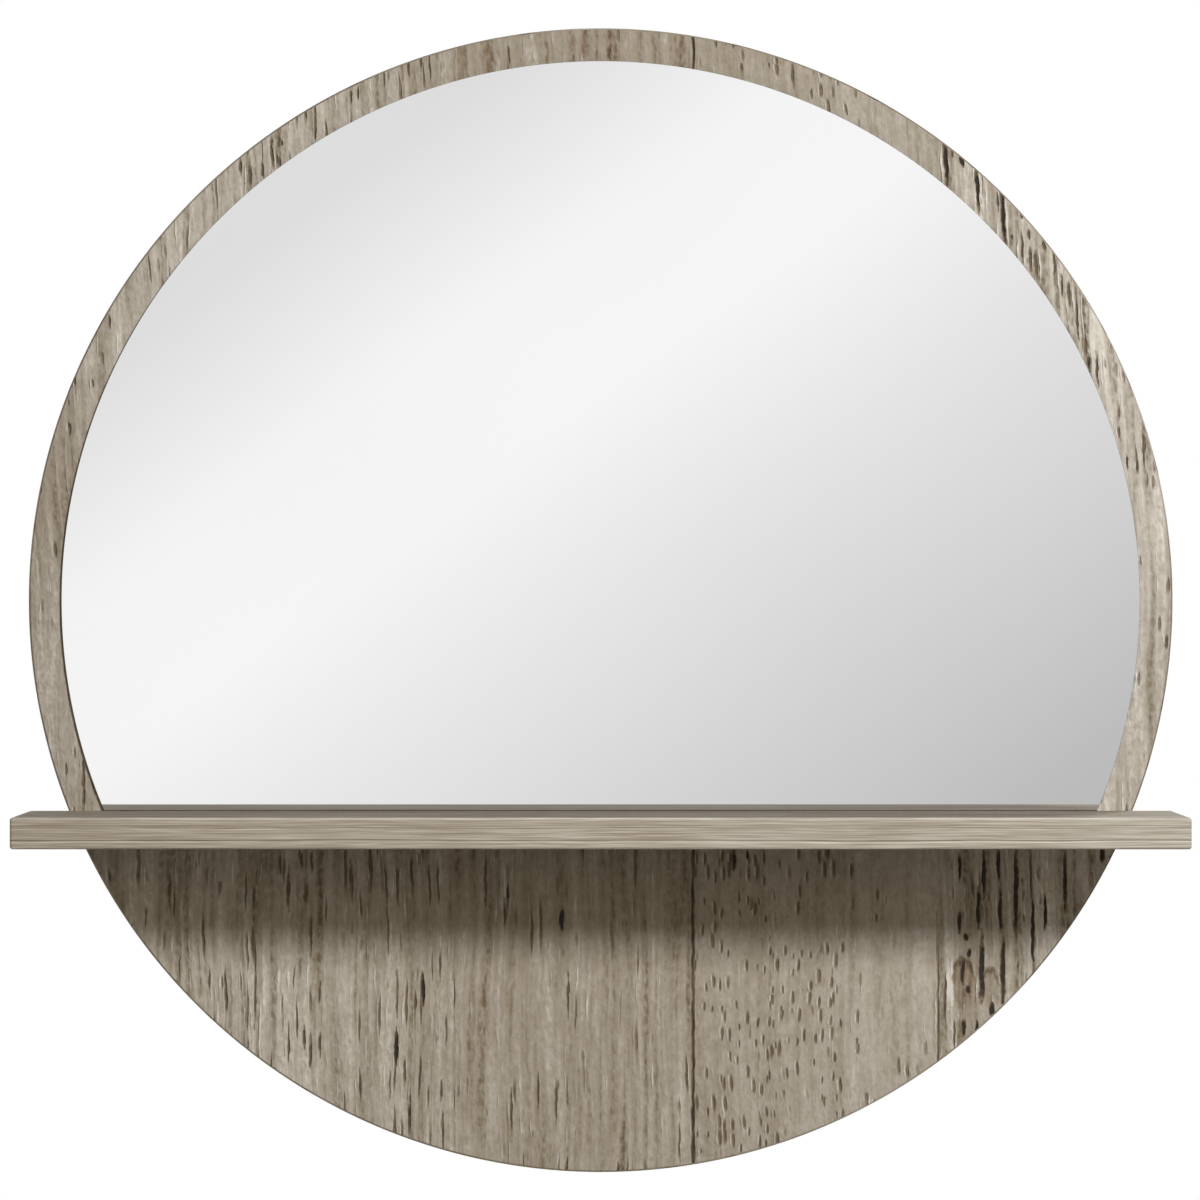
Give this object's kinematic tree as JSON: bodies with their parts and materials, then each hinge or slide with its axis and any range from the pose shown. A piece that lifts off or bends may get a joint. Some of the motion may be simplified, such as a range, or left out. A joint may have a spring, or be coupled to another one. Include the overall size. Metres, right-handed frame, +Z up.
{
  "type": "mirror with shelf",
  "caption": "Round weathered-wood wall mirror with a straight shelf across its lower third, a mirror segment above the shelf and a bare plank panel below it.",
  "frame": {"origin": "centre of the round board on its back face, which lies flat on the wall", "axes": "+Y points into the wall, -Y is the front, +Z is up, +X is to the right seen from the front"},
  "size_m": [0.61, 0.1196, 0.61],
  "materials": {
    "board_core": "raw fibreboard",
    "back_laminate": "plain balancing laminate",
    "face_laminate": "embossed weathered plank laminate, matt",
    "rim_edge_band": "weathered wood-grain band, matt",
    "tape": "white double-sided tape",
    "mirror": "silvered glass",
    "shelf_board": "weathered wood-grain foil, matt",
    "shelf_band": "weathered wood-grain band, satin",
    "dowel": "bare beech",
    "screw": "zinc-plated",
    "hanger": "zinc-plated pressed plate"
  },
  "bodies": {
    "root": {"back_board": "board_core", "back_laminate": "back_laminate", "face_laminate": "face_laminate", "rim_edge_band": "rim_edge_band", "mirror_tape": "tape", "mirror_pane": "mirror", "shelf_board": "shelf_board", "shelf_front_band": "shelf_band", "shelf_end_band_left": "shelf_band", "shelf_end_band_right": "shelf_band", "shelf_dowels": "dowel", "shelf_screws": "screw", "hanger_plate_left": "hanger", "hanger_plate_right": "hanger", "hanger_screws": "screw"}
  },
  "joints": []
}
